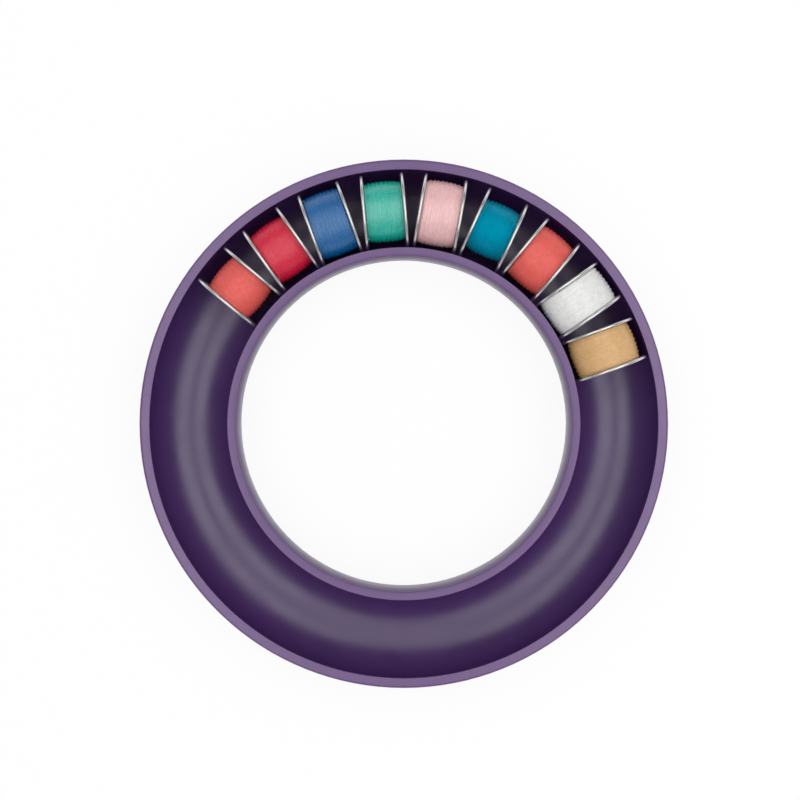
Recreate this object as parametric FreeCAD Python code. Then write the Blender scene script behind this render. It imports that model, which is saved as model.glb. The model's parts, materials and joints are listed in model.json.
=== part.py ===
import FreeCAD, Part
import math
import os

# A soft ring with an open channel that holds wound sewing machine bobbins on edge.
# Millimetres, +Z up. The ring's axis is Z and its foot lies on z = 0.

# Bobbin sizes
bobbin_diameter = 20.5
bobbin_width = 11.7
flange_thickness = 0.8
dish_depth = 0.5
dish_slope = 0.8
thread_hole_diameter = 2.2
thread_hole_count = 5
thread_hole_rim_room = 1.2
spindle_bore_diameter = 6.1
bore_entry_radius = 0.2
barrel_wall = 0.55
rolled_rim_width = 0.75
rolled_rim_thickness = 0.4
dish_room = 0.55

# Fits inside a bobbin
hub_clearance = 0.02
thread_clearance = 0.04
turn_clearance = 0.05
turn_flange_room = 0.3

# Thread on each bobbin, from the left of the row to the right: how much of the height from the dish to the
# rim it fills. The last turns lie open, but not on the bobbins that are wound close to the end.
thread_fill = [0.40, 0.53, 0.75, 0.59, 0.73, 0.42, 0.64, 0.84, 0.75]
thread_crown = 0.45
thread_shoulder_radius = 0.35
thread_thickness = 0.3
open_turn_count = 8
wound_close = [3]

# Ring sizes
ring_mid_diameter = 116.3
inner_lip_width = 2.35
outer_lip_width = 2.9
floor_thickness = 2.4
bottom_corner_radius = 5.0
outer_lip_edge_radius = 0.8
inner_lip_edge_radius = 0.5
mouth_edge_radius = 0.2

# Fits between a bobbin and the ring, each on one side
channel_clearance = 0.55
mouth_clearance = 0.15
seat_clearance = 0.2

# The row of bobbins round the ring
bobbin_count = len(thread_fill)
row_middle_angle = 80.2
neighbour_gap = 0.84
turn_step = 137.5

# Sizes that follow
bobbin_radius = bobbin_diameter / 2
half_width = bobbin_width / 2
bore_radius = spindle_bore_diameter / 2
barrel_radius = bore_radius + barrel_wall
rim_radius = barrel_radius + rolled_rim_width
dish_radius = rim_radius + dish_room
flat_radius = dish_radius + dish_slope
thread_hole_circle_radius = bobbin_radius - thread_hole_rim_room - thread_hole_diameter / 2
package_half_width = half_width - flange_thickness - thread_clearance
turn_reach = half_width - flange_thickness - turn_flange_room - thread_thickness / 2
channel_radius = bobbin_radius + channel_clearance
mouth_half = bobbin_radius + mouth_clearance
mid_radius = ring_mid_diameter / 2
channel_height = floor_thickness + channel_radius
lip_height = channel_height + math.sqrt(channel_radius ** 2 - mouth_half ** 2)
outer_radius = mid_radius + mouth_half + outer_lip_width
inner_radius = mid_radius - mouth_half - inner_lip_width

# A flange is a chord's width off the bobbin's middle, so the bobbin sits a little inside the channel's
# middle circle, where both flanges are centred in the channel.
flange_offset = half_width - flange_thickness / 2
seat_radius = math.sqrt(mid_radius ** 2 - flange_offset ** 2)
axis_height = channel_height - (channel_radius - bobbin_radius - seat_clearance)

# The pitch leaves the neighbour gap between two flanges where they come closest, at the inner rims
inner_rim = seat_radius - bobbin_radius
rim_reach = math.hypot(inner_rim, half_width)
half_pitch = math.atan2(half_width, inner_rim) + math.asin(neighbour_gap / 2 / rim_reach)
pitch_angle = math.degrees(2 * half_pitch)

ORIGIN = FreeCAD.Vector(0, 0, 0)
UP = FreeCAD.Vector(0, 0, 1)
BOBBIN_AXIS = FreeCAD.Vector(0, 1, 0)


def line(start, end):
    return Part.LineSegment(start, end).toShape()


def arc(start, middle, end):
    return Part.Arc(start, middle, end).toShape()


def chain(points):
    return [line(points[i], points[i + 1]) for i in range(len(points) - 1)]


def circle_edges(shape, radius, z):
    found = []
    for edge in shape.Edges:
        if not isinstance(edge.Curve, Part.Circle):
            continue
        if abs(edge.Curve.Radius - radius) < 1e-4 and abs(edge.Curve.Center.z - z) < 1e-4:
            found.append(edge)
    return found


def channel_ring():
    def at(radius, z):
        return FreeCAD.Vector(radius, 0, z)

    top = lip_height
    inner_mouth = mid_radius - mouth_half
    outer_mouth = mid_radius + mouth_half
    edges = chain([
        at(inner_mouth, top),
        at(inner_radius, top),
        at(inner_radius, 0),
        at(outer_radius, 0),
        at(outer_radius, top),
        at(outer_mouth, top),
    ])
    channel_floor = at(mid_radius, channel_height - channel_radius)
    edges.append(arc(at(outer_mouth, top), channel_floor, at(inner_mouth, top)))
    section = Part.Face(Part.Wire(edges))
    ring = section.revolve(ORIGIN, UP, 360)
    rounded = [
        (inner_radius, 0, bottom_corner_radius),
        (outer_radius, 0, bottom_corner_radius),
        (inner_radius, top, inner_lip_edge_radius),
        (outer_radius, top, outer_lip_edge_radius),
        (inner_mouth, top, mouth_edge_radius),
        (outer_mouth, top, mouth_edge_radius),
    ]
    for radius, z, fillet in rounded:
        ring = ring.makeFillet(fillet, circle_edges(ring, radius, z))
    return ring


def flange():
    # The disc on the +Y end: its outer face is at half_width, dished in round the hub
    def at(radius, y):
        return FreeCAD.Vector(radius, y, 0)

    hub_radius = barrel_radius + hub_clearance
    rim_start = bobbin_radius - flange_thickness / 2
    outside = half_width
    inside = half_width - flange_thickness
    edges = chain([
        at(rim_start, outside),
        at(flat_radius, outside),
        at(dish_radius, outside - dish_depth),
        at(hub_radius, outside - dish_depth),
        at(hub_radius, inside - dish_depth),
        at(dish_radius, inside - dish_depth),
        at(flat_radius, inside),
        at(rim_start, inside),
    ])
    edges.append(arc(at(rim_start, inside), at(bobbin_radius, flange_offset), at(rim_start, outside)))
    disc = Part.Face(Part.Wire(edges)).revolve(ORIGIN, BOBBIN_AXIS, 360)
    past = flange_thickness
    drill_start = FreeCAD.Vector(thread_hole_circle_radius, inside - dish_depth - past, 0)
    drill_length = flange_thickness + dish_depth + 2 * past
    drill = Part.makeCylinder(thread_hole_diameter / 2, drill_length, drill_start, BOBBIN_AXIS)
    for i in range(thread_hole_count):
        hole = drill.copy()
        hole.rotate(ORIGIN, BOBBIN_AXIS, 360 * i / thread_hole_count)
        disc = disc.cut(hole)
    return disc


def barrel():
    # A tube whose two ends are rolled outwards over the dished hubs
    def at(radius, y):
        return FreeCAD.Vector(radius, y, 0)

    seat = half_width - dish_depth
    end = seat + rolled_rim_thickness
    entry = bore_entry_radius
    bulge = rim_radius - rolled_rim_thickness / 2
    diagonal = math.sqrt(0.5)
    outline = [
        line(at(bore_radius, -end + entry), at(bore_radius, end - entry)),
        arc(
            at(bore_radius, end - entry),
            at(bore_radius + entry * (1 - diagonal), end - entry * (1 - diagonal)),
            at(bore_radius + entry, end),
        ),
        line(at(bore_radius + entry, end), at(bulge, end)),
        arc(at(bulge, end), at(rim_radius, (seat + end) / 2), at(bulge, seat)),
        line(at(bulge, seat), at(barrel_radius, seat)),
        line(at(barrel_radius, seat), at(barrel_radius, -seat)),
        line(at(barrel_radius, -seat), at(bulge, -seat)),
        arc(at(bulge, -seat), at(rim_radius, -(seat + end) / 2), at(bulge, -end)),
        line(at(bulge, -end), at(bore_radius + entry, -end)),
        arc(
            at(bore_radius + entry, -end),
            at(bore_radius + entry * (1 - diagonal), -end + entry * (1 - diagonal)),
            at(bore_radius, -end + entry),
        ),
    ]
    return Part.Face(Part.Wire(outline)).revolve(ORIGIN, BOBBIN_AXIS, 360)


def thread_package(top):
    # The close layers of thread between the flanges, fullest in the middle of their width
    def at(radius, y):
        return FreeCAD.Vector(radius, y, 0)

    inside = barrel_radius + thread_clearance
    wide = package_half_width
    narrow = wide - dish_depth
    edge = top - thread_crown
    edges = chain([
        at(edge, wide),
        at(flat_radius, wide),
        at(dish_radius, narrow),
        at(inside, narrow),
        at(inside, -narrow),
        at(dish_radius, -narrow),
        at(flat_radius, -wide),
        at(edge, -wide),
    ])
    edges.append(arc(at(edge, -wide), at(top, 0), at(edge, wide)))
    package = Part.Face(Part.Wire(edges)).revolve(ORIGIN, BOBBIN_AXIS, 360)
    shoulders = []
    for found in package.Edges:
        if isinstance(found.Curve, Part.Circle) and abs(found.Curve.Radius - edge) < 1e-4:
            shoulders.append(found)
    return package.makeFillet(min(thread_shoulder_radius, (edge - flat_radius) / 2), shoulders)


def turn_point(top, turn):
    # Middle of the strand after so many turns, on its way across the crowned package
    y = turn_reach * (2 * turn / open_turn_count - 1)
    crown_sweep = (package_half_width ** 2 + thread_crown ** 2) / (2 * thread_crown)
    package_radius = top - crown_sweep + math.sqrt(crown_sweep ** 2 - y ** 2)
    radius = package_radius + turn_clearance + thread_thickness / 2
    angle = 2 * math.pi * turn
    return FreeCAD.Vector(radius * math.cos(angle), y, radius * math.sin(angle))


def turn_way(top, turn):
    small = 1e-4
    return (turn_point(top, turn + small) - turn_point(top, turn - small)).normalize()


def corner_arc(start, corner, end):
    # The arc from start to end that touches both legs of a corner
    middle = (start + end) * 0.5
    rise = corner - middle
    lean = math.atan2(rise.Length, (end - start).Length / 2)
    return arc(start, middle + rise * (math.tan(lean / 2) / math.tan(lean)), end)


def biarc(start, start_way, end, end_way):
    # Two arcs that leave and arrive in the given directions and run smoothly into each other
    across = end - start
    bend = 2 * (1 - start_way.dot(end_way))
    along = across.dot(start_way + end_way)
    leg = (math.sqrt(along ** 2 + bend * across.dot(across)) - along) / bend
    first_corner = start + start_way * leg
    second_corner = end - end_way * leg
    joint = (first_corner + second_corner) * 0.5
    return [corner_arc(start, first_corner, joint), corner_arc(joint, second_corner, end)]


def open_turn_path(top):
    # A quarter turn to each pair of arcs, with a straight end as long as the strand is thick
    turns = [quarter / 4 for quarter in range(4 * open_turn_count + 1)]
    points = [turn_point(top, turn) for turn in turns]
    ways = [turn_way(top, turn) for turn in turns]
    edges = [line(points[0] - ways[0] * thread_thickness, points[0])]
    for i in range(len(points) - 1):
        edges += biarc(points[i], ways[i], points[i + 1], ways[i + 1])
    edges.append(line(points[-1], points[-1] + ways[-1] * thread_thickness))
    return Part.Wire(edges)


def open_turns(path):
    # The last turns of thread, laid open over the close layers from one flange to the other
    start = path.Edges[0]
    way = start.tangentAt(start.FirstParameter)
    section = Part.Wire(Part.makeCircle(thread_thickness / 2, start.Vertexes[0].Point, way))
    return path.makePipeShell([section], True, False)


def least_gap(path):
    # Least gap from one turn of the strand to another, on points along its middle
    points_per_turn = 24
    points = path.discretize(points_per_turn * open_turn_count)
    least = min(
        points[i].distanceToPoint(points[j])
        for i in range(len(points))
        for j in range(i + points_per_turn // 2, len(points))
    )
    return least - thread_thickness


def seated(shape, number):
    # Puts a bobbin's piece in its place in the row; each bobbin lies turned its own way
    angle = row_middle_angle + pitch_angle * ((bobbin_count - 1) / 2 - number)
    piece = shape.copy()
    piece.rotate(ORIGIN, BOBBIN_AXIS, turn_step * number)
    piece.translate(FreeCAD.Vector(seat_radius, 0, axis_height))
    piece.rotate(ORIGIN, UP, angle)
    return piece


def save(shape, node):
    shape.exportStep(os.path.join("parts", node + ".step"))


os.makedirs("parts", exist_ok=True)
save(channel_ring(), "channel_ring")

left_flange = flange()
right_flange = left_flange.copy()
right_flange.rotate(ORIGIN, UP, 180)
tube = barrel()
strand_gaps = []
for number, fill in enumerate(thread_fill):
    name = "bobbin_%d_" % (number + 1)
    thread_radius = flat_radius + fill * (bobbin_radius - flat_radius)
    save(seated(left_flange, number), name + "left_flange")
    save(seated(right_flange, number), name + "right_flange")
    save(seated(tube, number), name + "barrel")
    if number + 1 in wound_close:
        save(seated(thread_package(thread_radius), number), name + "thread")
        continue
    package_top = thread_radius - thread_thickness - turn_clearance
    strand = open_turn_path(package_top)
    strand_gaps.append(least_gap(strand))
    save(seated(thread_package(package_top), number), name + "thread")
    save(seated(open_turns(strand), number), name + "open_turns")

print("pitch angle %.3f" % pitch_angle)
print("ring outside diameter %.2f, hole %.2f, height %.2f" % (2 * outer_radius, 2 * inner_radius, lip_height))
print("bobbin axis at radius %.3f, height %.3f" % (seat_radius, axis_height))
print("least gap between open turns %.3f" % min(strand_gaps))
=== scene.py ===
import json
import math

import bpy
import numpy as np
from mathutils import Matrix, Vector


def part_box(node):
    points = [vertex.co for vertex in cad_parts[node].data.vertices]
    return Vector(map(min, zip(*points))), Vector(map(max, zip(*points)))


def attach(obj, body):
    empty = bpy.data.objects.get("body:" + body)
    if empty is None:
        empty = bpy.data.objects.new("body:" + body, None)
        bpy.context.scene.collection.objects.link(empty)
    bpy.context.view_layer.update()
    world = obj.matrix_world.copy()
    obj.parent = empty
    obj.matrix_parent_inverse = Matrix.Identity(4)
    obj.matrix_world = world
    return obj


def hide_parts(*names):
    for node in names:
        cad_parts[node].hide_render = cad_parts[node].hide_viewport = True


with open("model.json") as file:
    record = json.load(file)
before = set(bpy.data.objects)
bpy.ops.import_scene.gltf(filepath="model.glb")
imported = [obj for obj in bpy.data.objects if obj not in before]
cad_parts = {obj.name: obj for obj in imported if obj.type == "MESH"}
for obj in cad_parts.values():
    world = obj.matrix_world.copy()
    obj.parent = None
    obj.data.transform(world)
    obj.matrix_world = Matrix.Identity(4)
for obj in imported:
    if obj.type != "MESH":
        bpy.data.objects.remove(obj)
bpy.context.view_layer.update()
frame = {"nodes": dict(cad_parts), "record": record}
record = frame["record"]


def node_points(node):
    return np.array([vertex.co for vertex in frame["nodes"][node].data.vertices])


# Sizes are in metres, apart from the camera's sensor, in millimetres
MM = 0.001

# Ring, measured on the frame
LIP_HEIGHT = float(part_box("channel_ring")[1][2])
HOLE_RADIUS = float(np.linalg.norm(node_points("channel_ring")[:, :2], axis=1).min())

# Bobbin: its barrel, the flange's dish round it, and the turn from one bobbin to the next, in degrees
DISH_DEPTH = 0.5 * MM
BARREL_RADIUS = 3.6 * MM
DISH_RADIUS = 4.9 * MM
FLAT_RADIUS = 5.7 * MM
BOBBIN_TURN_STEP = 137.5

# Wound thread
THREAD_DIAMETER = 0.30 * MM
CLOSE_PITCH = 0.31 * MM
OPEN_TURNS = 8
OPEN_TURN_ROOM = 0.3 * MM
FLANGE_ROOM = 0.05 * MM
BARREL_ROOM = 0.05 * MM
THREAD_CROWN = 0.45 * MM
LAYER_DEPTH = 0.72 * THREAD_DIAMETER
CORE_DEPTH = 1.30 * THREAD_DIAMETER

# How far the strand strays from an even winding, and the turns in which it crosses over and climbs
CLOSE_WANDER = 0.035 * MM
OPEN_WANDER = 0.22 * MM
WANDER_EASE = 0.6 * MM
UNEVENNESS = 0.012 * MM
CROSSING_TURNS = 0.25
CLIMB_TURNS = 0.5
FIRST_SEED = 700

# Fineness of the thread's mesh, and the share of its sideways facing that is left when it is pressed flat
TURN_STEPS = 84
WANDER_STEPS = TURN_STEPS * 2 // 3
UNEVEN_STEPS = TURN_STEPS // 5
TUBE_SIDES = 6
CORE_STEPS = 96
CROWN_POINTS = 15
SIDEWAYS_SHARE = 0.28

# Camera, as the photograph: straight down, with the ring's middle a little below the frame's
FRAME_PIXELS = 800
PIXELS_PER_MM = 3.708
RING_PIXEL = (403.8, 423.8)
CAMERA_ABOVE_LIP = 0.300
SENSOR_WIDTH = 36.0
NEAREST_SEEN = 0.01


def linear(red, green, blue):
    # From display values of 0 to 255 to the linear values that shaders take
    values = []
    for value in (red, green, blue):
        share = value / 255
        values.append(share / 12.92 if share <= 0.04045 else ((share + 0.055) / 1.055) ** 2.4)
    return (*values, 1.0)


def scaled(colour, factor):
    return (*[min(1.0, channel * factor) for channel in colour[:3]], 1.0)


# Noise textures: nearly all of their values lie between low and high
NOISE_LOW = 0.25
NOISE_HIGH = 0.75
NOISE_ROUGHNESS = 0.55


class Nodes:
    # Short forms for the nodes of one tree
    def __init__(self, tree):
        self.tree = tree
        tree.nodes.clear()

    def add(self, kind, **settings):
        node = self.tree.nodes.new(kind)
        for key, value in settings.items():
            setattr(node, key, value)
        return node

    def link(self, out_socket, in_socket):
        self.tree.links.new(out_socket, in_socket)

    def place(self):
        return self.add("ShaderNodeTexCoord").outputs["Object"]

    def split(self, vector):
        node = self.add("ShaderNodeSeparateXYZ")
        self.link(vector, node.inputs["Vector"])
        return node.outputs

    def vector(self, operation, first, second):
        node = self.add("ShaderNodeVectorMath", operation=operation)
        self.link(first, node.inputs[0])
        node.inputs[1].default_value = second
        return node.outputs["Vector"]

    def length(self, vector):
        node = self.add("ShaderNodeVectorMath", operation="LENGTH")
        self.link(vector, node.inputs[0])
        return node.outputs["Value"]

    def math(self, operation, first, second=None):
        node = self.add("ShaderNodeMath", operation=operation)
        for socket, value in zip(node.inputs, (first, second)):
            if value is None:
                continue
            if isinstance(value, (int, float)):
                socket.default_value = value
            else:
                self.link(value, socket)
        return node.outputs[0]

    def noise(self, vector, scale, detail):
        node = self.add("ShaderNodeTexNoise")
        node.inputs["Scale"].default_value = scale
        node.inputs["Detail"].default_value = detail
        node.inputs["Roughness"].default_value = NOISE_ROUGHNESS
        self.link(vector, node.inputs["Vector"])
        return node.outputs["Fac"]

    def between(self, value, start, end, low, high):
        node = self.add("ShaderNodeMapRange", interpolation_type="SMOOTHSTEP")
        node.inputs["From Min"].default_value = start
        node.inputs["From Max"].default_value = end
        node.inputs["To Min"].default_value = low
        node.inputs["To Max"].default_value = high
        self.link(value, node.inputs["Value"])
        return node.outputs["Result"]

    def spread(self, noise, low, high):
        return self.between(noise, NOISE_LOW, NOISE_HIGH, low, high)

    def blend(self, share, first, second):
        node = self.add("ShaderNodeMix", data_type="RGBA")
        colours = [socket for socket in node.inputs if socket.type == "RGBA"]
        self.link(share, node.inputs["Factor"])
        self.link(first, colours[0])
        self.link(second, colours[1])
        return [socket for socket in node.outputs if socket.type == "RGBA"][0]

    def shade(self, noise, dark, light):
        node = self.add("ShaderNodeValToRGB")
        ramp = node.color_ramp
        ramp.elements[0].position = NOISE_LOW
        ramp.elements[0].color = dark
        ramp.elements[1].position = NOISE_HIGH
        ramp.elements[1].color = light
        self.link(noise, node.inputs["Fac"])
        return node.outputs["Color"]

    def varied(self, noise, colour, darkest, lightest):
        return self.shade(noise, scaled(colour, darkest), scaled(colour, lightest))

    def bump(self, height, strength, distance, below=None):
        node = self.add("ShaderNodeBump")
        node.inputs["Strength"].default_value = strength
        node.inputs["Distance"].default_value = distance
        self.link(height, node.inputs["Height"])
        if below is not None:
            self.link(below, node.inputs["Normal"])
        return node.outputs["Normal"]


def new_material(name, shader_kind="ShaderNodeBsdfPrincipled"):
    material = bpy.data.materials.new(name)
    material.use_nodes = True
    nodes = Nodes(material.node_tree)
    shader = nodes.add(shader_kind)
    output = nodes.add("ShaderNodeOutputMaterial")
    nodes.link(shader.outputs[0], output.inputs["Surface"])
    return material, nodes, shader


# Ring material
RING_COLOUR = linear(64, 31, 92)
# Painted light: the lips' paler colour stands for light let through the thin lips
LIP_PAINTED_LIGHT_COLOUR = linear(95, 60, 119)
# Painted light: this pale grey stands for light from the white floor on the foot of the hole's wall
FOOT_PAINTED_LIGHT_COLOUR = linear(172, 158, 180)
LIP_PAINTED_LIGHT_FADE = 1.2 * MM
WALL_FADE = 3.0 * MM
# Heights and share of the painted floor light on the hole's wall
FOOT_LIGHT_FROM = 0.20 * LIP_HEIGHT
FOOT_LIGHT_TO = 0.95 * LIP_HEIGHT
FOOT_LIGHT_SHARE = 0.62
DULL_FROM = 0.30 * LIP_HEIGHT
DULL_TO = 0.90 * LIP_HEIGHT
DULLNESS = 0.24
RING_ROUGHNESS = (0.36, 0.44)
RING_IOR = 1.53
RING_GLOSS = 1.0


def ring_material():
    # Soft plastic. Painted light: the thin lips are paler, standing for light let through them, and the
    # hole's wall is paler and greyer towards its foot, standing for light from the white floor
    material, nodes, shader = new_material("ring_plastic")
    place = nodes.place()
    height = nodes.split(place)["Z"]
    reach = nodes.length(nodes.vector("MULTIPLY", place, (1, 1, 0)))
    hole_wall = nodes.between(reach, HOLE_RADIUS, HOLE_RADIUS + WALL_FADE, 1.0, 0.0)
    # Painted light on the lips, fading in over the top of the ring
    painted_lip_light = nodes.between(height, LIP_HEIGHT - LIP_PAINTED_LIGHT_FADE, LIP_HEIGHT, 0.0, 1.0)
    # Painted floor light: paler and greyer towards the foot of the hole's wall
    foot_light_fade = nodes.between(height, FOOT_LIGHT_FROM, FOOT_LIGHT_TO, FOOT_LIGHT_SHARE, 0.0)
    painted_foot_light = nodes.math("MULTIPLY", hole_wall, foot_light_fade)
    cloud = nodes.noise(place, scale=60.0, detail=4.0)
    body = nodes.varied(cloud, RING_COLOUR, darkest=0.93, lightest=1.07)
    lip_light_colour = nodes.varied(cloud, LIP_PAINTED_LIGHT_COLOUR, darkest=0.96, lightest=1.04)
    foot_light_colour = nodes.varied(cloud, FOOT_PAINTED_LIGHT_COLOUR, darkest=0.90, lightest=1.10)
    colour = nodes.blend(painted_foot_light, nodes.blend(painted_lip_light, body, lip_light_colour), foot_light_colour)
    nodes.link(colour, shader.inputs["Base Color"])
    haze = nodes.noise(place, scale=170.0, detail=3.0)
    dull = nodes.math("MULTIPLY", hole_wall, nodes.between(height, DULL_FROM, DULL_TO, 0.0, DULLNESS))
    nodes.link(nodes.math("ADD", nodes.spread(haze, *RING_ROUGHNESS), dull), shader.inputs["Roughness"])
    wave = nodes.noise(place, scale=240.0, detail=2.0)
    grain = nodes.noise(place, scale=3200.0, detail=2.0)
    soft = nodes.bump(wave, strength=0.10, distance=0.15 * MM)
    nodes.link(nodes.bump(grain, strength=0.12, distance=0.03 * MM, below=soft), shader.inputs["Normal"])
    shader.inputs["IOR"].default_value = RING_IOR
    shader.inputs["Specular IOR Level"].default_value = RING_GLOSS
    return material


# Bobbin steel
DULL_STEEL = linear(220, 219, 218)
BRIGHT_STEEL = linear(240, 239, 237)
STEEL_ROUGHNESS = (0.26, 0.40)
TURNING_MARKS_SCALE = 9000.0


def steel_material(name, place, axis):
    # Bright plated sheet with faint turning marks round the bobbin's own axis
    material, nodes, shader = new_material(name)
    here = nodes.place()
    reach = nodes.length(nodes.vector("CROSS_PRODUCT", nodes.vector("SUBTRACT", here, place), axis))
    marks = nodes.add("ShaderNodeTexNoise", noise_dimensions="1D")
    marks.inputs["Scale"].default_value = TURNING_MARKS_SCALE
    marks.inputs["Detail"].default_value = 2.0
    nodes.link(reach, marks.inputs["W"])
    smudge = nodes.noise(here, scale=320.0, detail=4.0)
    nodes.link(nodes.shade(smudge, DULL_STEEL, BRIGHT_STEEL), shader.inputs["Base Color"])
    nodes.link(nodes.spread(smudge, *STEEL_ROUGHNESS), shader.inputs["Roughness"])
    turned = nodes.bump(marks.outputs["Fac"], strength=0.10, distance=0.04 * MM)
    nodes.link(turned, shader.inputs["Normal"])
    shader.inputs["Metallic"].default_value = 1.0
    return material


# Thread: the colour, gloss and sheen of each one. Silky ones show a bright band, and plain ones hardly any
WHITE = (1.0, 1.0, 1.0, 1.0)
THREADS = {
    "thread_coral": (linear(235, 101, 93), 0.28, WHITE),
    "thread_red": (linear(222, 30, 66), 0.42, WHITE),
    "thread_blue": (linear(2, 103, 168), 0.58, WHITE),
    "thread_green": (linear(0, 188, 168), 0.88, WHITE),
    "thread_pink": (linear(244, 195, 196), 0.80, WHITE),
    "thread_teal": (linear(0, 141, 173), 0.50, linear(0, 222, 240)),
    "thread_white": (linear(236, 236, 235), 0.30, WHITE),
    "thread_tan": (linear(221, 179, 123), 0.40, WHITE),
}
STRAND_MAP = "strand"
TWISTS_PER_MM = 1.35
PLY_WAVES = 2
PATCH_SHARE = 0.6
FLECK_SHARE = 0.4
THREAD_ROUGHNESS = (0.19, 0.29)
THREAD_IOR = 1.75


def thread_material(name, colour, gloss, sheen):
    # Twisted sewing thread: the strand's own map runs along it, in millimetres, and round it, in turns
    material, nodes, shader = new_material(name)
    strand = nodes.split(nodes.add("ShaderNodeUVMap", uv_map=STRAND_MAP).outputs["UV"])
    turn = nodes.math("ADD", nodes.math("MULTIPLY", strand["X"], TWISTS_PER_MM), strand["Y"])
    ply = nodes.math("SINE", nodes.math("MULTIPLY", turn, PLY_WAVES * 2 * math.pi))
    place = nodes.place()
    patch = nodes.noise(place, scale=900.0, detail=3.0)
    fleck = nodes.noise(place, scale=5200.0, detail=2.0)
    patches = nodes.math("MULTIPLY", patch, PATCH_SHARE)
    flecks = nodes.math("MULTIPLY", fleck, FLECK_SHARE)
    mixed = nodes.math("ADD", patches, flecks)
    nodes.link(nodes.varied(mixed, colour, darkest=0.84, lightest=1.12), shader.inputs["Base Color"])
    nodes.link(nodes.spread(fleck, *THREAD_ROUGHNESS), shader.inputs["Roughness"])
    twisted = nodes.bump(nodes.math("ABSOLUTE", ply), strength=0.35, distance=0.04 * MM)
    nodes.link(twisted, shader.inputs["Normal"])
    shader.inputs["IOR"].default_value = THREAD_IOR
    shader.inputs["Specular IOR Level"].default_value = gloss
    shader.inputs["Specular Tint"].default_value = sheen
    return material


# Wound thread: y runs along the bobbin's spindle, from its middle
def flange_space(number, place, axis):
    # From the bobbin's middle to the flat inner face of its flange
    points = node_points("bobbin_%d_left_flange" % number) - np.array(place)
    along = points @ np.array(axis)
    reach = np.linalg.norm(points - along[:, None] * np.array(axis), axis=1)
    return np.abs(along[reach > FLAT_RADIUS + DISH_DEPTH]).min()


def package_radius(y, middle_radius, half):
    # The package is fullest in the middle: an arc through the crown and both ends
    sweep = (half ** 2 + THREAD_CROWN ** 2) / (2 * THREAD_CROWN)
    return middle_radius - sweep + np.sqrt(sweep ** 2 - np.minimum(np.abs(y), half) ** 2)


def smooth_noise(rng, count, every):
    # Random knots with an eased line between them, and knots to spare past the end
    knots = rng.uniform(-1.0, 1.0, count // every + 3)
    steps = np.arange(count) / every
    low = steps.astype(int)
    share = steps - low
    share = share * share * (3 - 2 * share)
    return knots[low] * (1 - share) + knots[low + 1] * share


def strand_path(middle_radius, space, rng):
    # One thread: a close layer from one flange to the other, then open turns back across it
    close_reach = space - FLANGE_ROOM - THREAD_DIAMETER / 2
    open_reach = space - OPEN_TURN_ROOM - THREAD_DIAMETER / 2
    close_turns = int(2 * close_reach / CLOSE_PITCH)
    count = (close_turns + OPEN_TURNS) * TURN_STEPS + 1
    turn = np.arange(count) / TURN_STEPS - close_turns
    y = np.interp(
        turn,
        [-close_turns, -CROSSING_TURNS, 0.0, OPEN_TURNS],
        [close_reach, -close_reach, -open_reach, open_reach],
    )
    wander = smooth_noise(rng, count, WANDER_STEPS)
    ease = np.clip((close_reach - np.abs(y)) / WANDER_EASE, 0, 1)
    y = y + wander * ease * np.where(turn < 0, CLOSE_WANDER, OPEN_WANDER)
    climb = np.clip(turn / CLIMB_TURNS, 0, 1)
    outside = package_radius(y, middle_radius, space - FLANGE_ROOM)
    radius = outside - THREAD_DIAMETER / 2 - LAYER_DEPTH * (1 - climb)
    radius = radius + UNEVENNESS * smooth_noise(rng, count, UNEVEN_STEPS)
    return 2 * math.pi * turn, radius, y


def tube(angle, radius, y):
    # Thread is pressed flat as it is wound, so its surface faces sideways less than a round wire's does
    count = len(angle)
    side = np.arange(TUBE_SIDES) * 2 * math.pi / TUBE_SIDES
    reach = radius[:, None] + THREAD_DIAMETER / 2 * np.cos(side)[None, :]
    across = y[:, None] + THREAD_DIAMETER / 2 * np.sin(side)[None, :]
    points = np.stack([
        reach * np.cos(angle)[:, None],
        across,
        reach * np.sin(angle)[:, None],
    ], axis=-1).reshape(-1, 3)
    facing = np.stack([
        np.outer(np.cos(angle), np.cos(side)),
        np.tile(SIDEWAYS_SHARE * np.sin(side), (count, 1)),
        np.outer(np.sin(angle), np.cos(side)),
    ], axis=-1).reshape(-1, 3)
    ring = np.arange(count - 1)[:, None] * TUBE_SIDES
    here = np.arange(TUBE_SIDES)[None, :]
    after = (here + 1) % TUBE_SIDES
    quads = np.stack([
        ring + here,
        ring + after,
        ring + after + TUBE_SIDES,
        ring + here + TUBE_SIDES,
    ], axis=-1).reshape(-1, 4)
    length = np.concatenate([[0.0], np.cumsum(np.abs(np.diff(angle)) * radius[1:])]) / MM
    along = np.repeat(length[:-1], TUBE_SIDES)
    ahead = np.repeat(length[1:], TUBE_SIDES)
    start = np.tile(np.arange(TUBE_SIDES) / TUBE_SIDES, count - 1)
    end = start + 1 / TUBE_SIDES
    maps = np.stack([
        np.stack([along, start], axis=-1),
        np.stack([along, end], axis=-1),
        np.stack([ahead, end], axis=-1),
        np.stack([ahead, start], axis=-1),
    ], axis=1).reshape(-1, 2)
    first_cap = list(reversed(range(TUBE_SIDES)))
    last_cap = list(range((count - 1) * TUBE_SIDES, count * TUBE_SIDES))
    return points, facing, quads, maps, [first_cap, last_cap]


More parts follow.
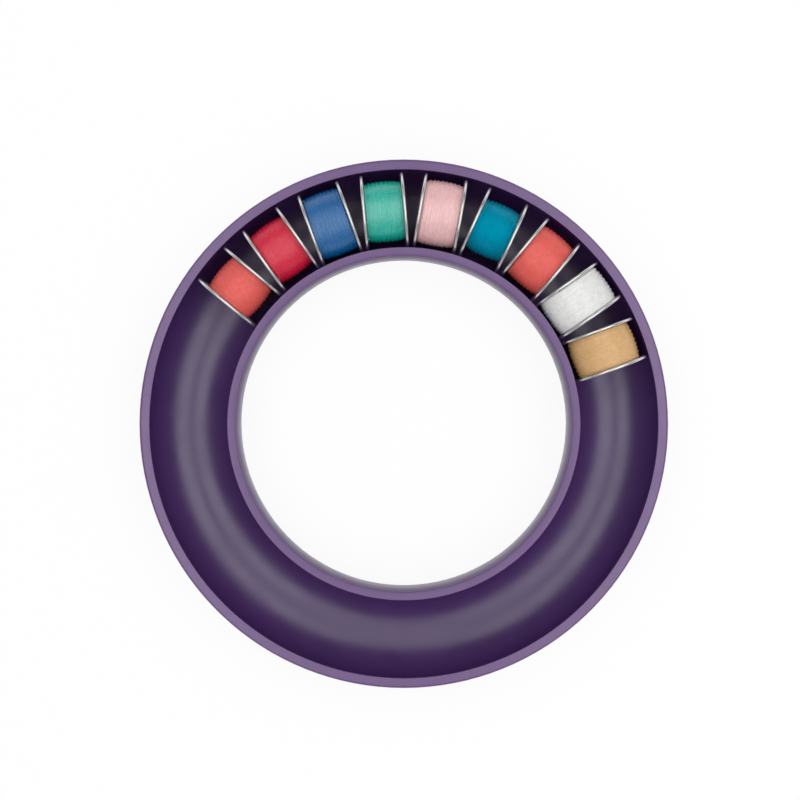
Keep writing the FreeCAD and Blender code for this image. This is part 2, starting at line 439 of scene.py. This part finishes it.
def core(middle_radius, space):
    # The layers below: a turned package that the strand lies on
    half = space - FLANGE_ROOM
    hub_half = half - DISH_DEPTH
    hub_radius = BARREL_RADIUS + BARREL_ROOM
    crown_y = np.linspace(half, -half, CROWN_POINTS)
    crown_radius = package_radius(crown_y, middle_radius, half) - CORE_DEPTH
    inside = [
        (FLAT_RADIUS, -half),
        (DISH_RADIUS, -hub_half),
        (hub_radius, -hub_half),
        (hub_radius, hub_half),
        (DISH_RADIUS, hub_half),
        (FLAT_RADIUS, half),
    ]
    profile = np.array(list(zip(crown_radius, crown_y)) + inside)
    turn = np.arange(CORE_STEPS) * 2 * math.pi / CORE_STEPS
    points = np.stack([
        profile[None, :, 0] * np.cos(turn)[:, None],
        np.repeat(profile[None, :, 1], CORE_STEPS, axis=0),
        profile[None, :, 0] * np.sin(turn)[:, None],
    ], axis=-1).reshape(-1, 3)
    size = len(profile)
    step = np.arange(CORE_STEPS)[:, None]
    here = np.arange(size)[None, :]
    after = (here + 1) % size
    ahead = (step + 1) % CORE_STEPS
    quads = np.stack([
        step * size + here,
        ahead * size + here,
        ahead * size + after,
        step * size + after,
    ], axis=-1).reshape(-1, 4)
    return points, quads


def winding(number, place, axis, material):
    # The last node named is the outermost: the open turns, or a package that is wound close
    stands_for = ["bobbin_%d_thread" % number, "bobbin_%d_open_turns" % number]
    stands_for = [node for node in stands_for if node in frame["nodes"]]
    low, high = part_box(stands_for[-1])
    middle_radius = (high[2] - low[2]) / 2
    space = flange_space(number, place, axis)
    rng = np.random.default_rng(FIRST_SEED + number)
    angle, radius, y = strand_path(middle_radius, space, rng)
    turned = math.radians(BOBBIN_TURN_STEP) * (number - 1)
    strand_points, facing, strand_quads, strand_maps, caps = tube(angle - turned, radius, y)
    core_points, core_quads = core(middle_radius, space)
    points = np.concatenate([strand_points, core_points])
    # A facing of zero keeps the mesh's own smooth direction
    facing = np.concatenate([facing, np.zeros_like(core_points)])
    # The bobbin's own directions: outwards from the ring, along its spindle, and up
    ways = np.array([[axis[1], -axis[0], 0.0], axis, [0.0, 0.0, 1.0]])
    points = np.array(place) + points @ ways
    faces = strand_quads.tolist() + caps + (core_quads + len(strand_points)).tolist()
    mesh = bpy.data.meshes.new("bobbin_%d_wound_thread" % number)
    mesh.from_pydata(points.tolist(), [], faces)
    unmapped = np.zeros((2 * TUBE_SIDES + core_quads.size, 2))
    layer = mesh.uv_layers.new(name=STRAND_MAP)
    layer.data.foreach_set("uv", np.concatenate([strand_maps, unmapped]).ravel())
    mesh.polygons.foreach_set("use_smooth", [True] * len(mesh.polygons))
    mesh.materials.append(material)
    mesh.update()
    mesh.normals_split_custom_set_from_vertices((facing @ ways).tolist())
    piece = bpy.data.objects.new(mesh.name, mesh)
    bpy.context.collection.objects.link(piece)
    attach(piece, "bobbin_%d" % number)
    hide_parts(*stands_for)


# Ring and bobbins
def give(node, material):
    for holder in frame["nodes"][node].material_slots:
        holder.material = material


give("channel_ring", ring_material())

slots = {entry["node"]: entry["material_slot"] for entry in record["subparts"]}
thread_materials = {name: thread_material(name, *finish) for name, finish in THREADS.items()}
mounts = {mount["name"]: mount for mount in record["mounts"]}
bobbin_count = len([name for name in mounts if name.endswith("_spindle_bore")])
for number in range(1, bobbin_count + 1):
    mount = mounts["bobbin_%d_spindle_bore" % number]
    place, axis = mount["pos_m"], mount["axis"]
    steel = steel_material("bobbin_%d_steel" % number, place, axis)
    for part in ("left_flange", "right_flange", "barrel"):
        give("bobbin_%d_%s" % (number, part), steel)
    slot = slots["bobbin_%d_thread" % number]
    winding(number, place, axis, thread_materials[slot])


# Floor
FLOOR_SIZE = 6.0
FLOOR_DROP = 0.2 * MM
FLOOR_COLOUR = (0.92, 0.92, 0.92, 1.0)
FLOOR_NEAR = 0.12
FLOOR_FAR = 0.60
NEAR_WHITE = 0.90


def floor_material():
    # Pale round the object, where it keeps the shadow, and the backdrop's white further out
    material, nodes, mix = new_material("white_floor", "ShaderNodeMixShader")
    diffuse = nodes.add("ShaderNodeBsdfDiffuse")
    diffuse.inputs["Color"].default_value = FLOOR_COLOUR
    glow = nodes.add("ShaderNodeEmission")
    glow.inputs["Strength"].default_value = 1.0
    rays = nodes.add("ShaderNodeLightPath").outputs
    seen = nodes.math("MAXIMUM", rays["Is Camera Ray"], rays["Is Glossy Ray"])
    seen = nodes.math("MAXIMUM", seen, rays["Is Transmission Ray"])
    white = nodes.between(nodes.length(nodes.place()), FLOOR_NEAR, FLOOR_FAR, NEAR_WHITE, 1.0)
    nodes.link(nodes.math("MULTIPLY", seen, white), mix.inputs["Fac"])
    nodes.link(diffuse.outputs["BSDF"], mix.inputs[1])
    nodes.link(glow.outputs["Emission"], mix.inputs[2])
    return material


bpy.ops.mesh.primitive_plane_add(size=FLOOR_SIZE, location=(0, 0, -FLOOR_DROP))
floor = bpy.context.object
floor.name = "floor"
floor.data.materials.append(floor_material())

# World: white to the camera. Mirrors see white walls and a dim ceiling, and both give a soft fill light.
# The walls end and the ceiling starts where a ray climbs by these shares of its length
MIRRORED_WALL = 1.0
MIRRORED_WALL_END = 0.05
MIRRORED_CEILING = 0.10
MIRRORED_CEILING_START = 0.22
FILL_WALL = 0.60
FILL_WALL_END = 0.15
FILL_CEILING = 0.28
FILL_CEILING_START = 0.80

scene = bpy.context.scene
world = bpy.data.worlds.new("studio")
scene.world = world
world.use_nodes = True
sky = Nodes(world.node_tree)
backdrop = sky.add("ShaderNodeBackground")
backdrop.inputs["Color"].default_value = WHITE
rays = sky.add("ShaderNodeLightPath").outputs
upward = sky.split(sky.add("ShaderNodeTexCoord").outputs["Generated"])["Z"]
mirrored = sky.math("MAXIMUM", rays["Is Glossy Ray"], rays["Is Transmission Ray"])
room = sky.between(
    upward, MIRRORED_WALL_END, MIRRORED_CEILING_START, MIRRORED_WALL, MIRRORED_CEILING
)
shown = sky.math("MAXIMUM", rays["Is Camera Ray"], sky.math("MULTIPLY", mirrored, room))
fill = sky.between(upward, FILL_WALL_END, FILL_CEILING_START, FILL_WALL, FILL_CEILING)
fill = sky.math("MULTIPLY", fill, sky.math("SUBTRACT", 1.0, mirrored))
sky.link(sky.math("MAXIMUM", shown, fill), backdrop.inputs["Strength"])
world_output = sky.add("ShaderNodeOutputWorld")
sky.link(backdrop.outputs["Background"], world_output.inputs["Surface"])

# Two long softboxes beside the camera, by name, place and width, the right one a little wider
LAMP_HEIGHT = 0.52
LAMP_LENGTH = 1.00
LAMP_RADIANCE = 1.73
LAMPS = (("left_softbox", -0.22, 0.32), ("right_softbox", 0.27, 0.42))


def softbox(name, x, width):
    # Tilted to face the ring's middle
    lamp = bpy.data.lights.new(name, "AREA")
    lamp.shape = "RECTANGLE"
    lamp.size = width
    lamp.size_y = LAMP_LENGTH
    lamp.energy = LAMP_RADIANCE * math.pi * width * LAMP_LENGTH
    holder = bpy.data.objects.new(name, lamp)
    bpy.context.collection.objects.link(holder)
    holder.location = (x, 0, LAMP_HEIGHT)
    holder.rotation_euler = (0, math.atan2(x, LAMP_HEIGHT), 0)


for lamp_settings in LAMPS:
    softbox(*lamp_settings)

# Camera
metres_per_pixel = MM / PIXELS_PER_MM
camera_data = bpy.data.cameras.new("camera")
camera_data.sensor_width = SENSOR_WIDTH
camera_data.lens = SENSOR_WIDTH * CAMERA_ABOVE_LIP / (FRAME_PIXELS * metres_per_pixel)
camera_data.clip_start = NEAREST_SEEN
camera = bpy.data.objects.new("camera", camera_data)
bpy.context.collection.objects.link(camera)
camera.location = (
    (FRAME_PIXELS / 2 - RING_PIXEL[0]) * metres_per_pixel,
    (RING_PIXEL[1] - FRAME_PIXELS / 2) * metres_per_pixel,
    LIP_HEIGHT + CAMERA_ABOVE_LIP,
)
scene.camera = camera
scene.view_settings.view_transform = "Standard"
